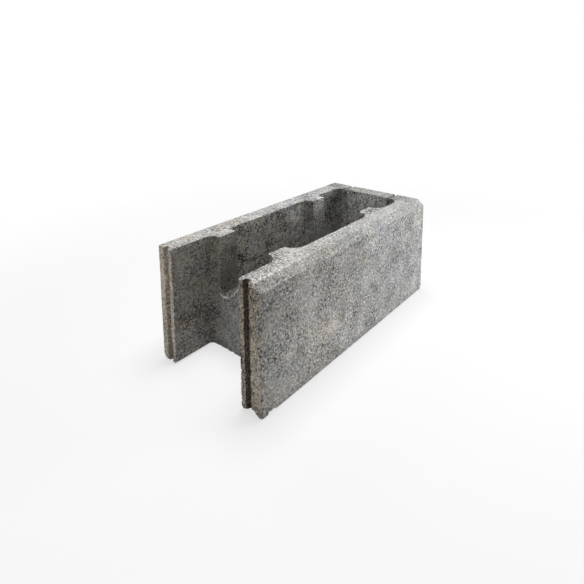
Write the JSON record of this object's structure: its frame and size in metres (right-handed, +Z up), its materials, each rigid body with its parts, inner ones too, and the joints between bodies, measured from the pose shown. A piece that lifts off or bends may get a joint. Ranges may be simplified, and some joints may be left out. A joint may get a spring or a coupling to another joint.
{
  "type": "concrete formwork block",
  "caption": "Hollow concrete formwork block with a closed end, lowered cross webs that seat lengthwise bars, key grooves at the open end and a chamfered facing edge.",
  "frame": {"origin": "middle of the block's length and width, on its bed", "axes": "+X along the block from the open end to the closed end, +Y from the chamfered facing wall to the rear wall, +Z up"},
  "size_m": [0.5, 0.23, 0.2],
  "materials": {
    "concrete": "rough, open-textured pressed concrete, unpainted"
  },
  "bodies": {
    "root": {"formwork_block": "concrete"}
  },
  "joints": []
}
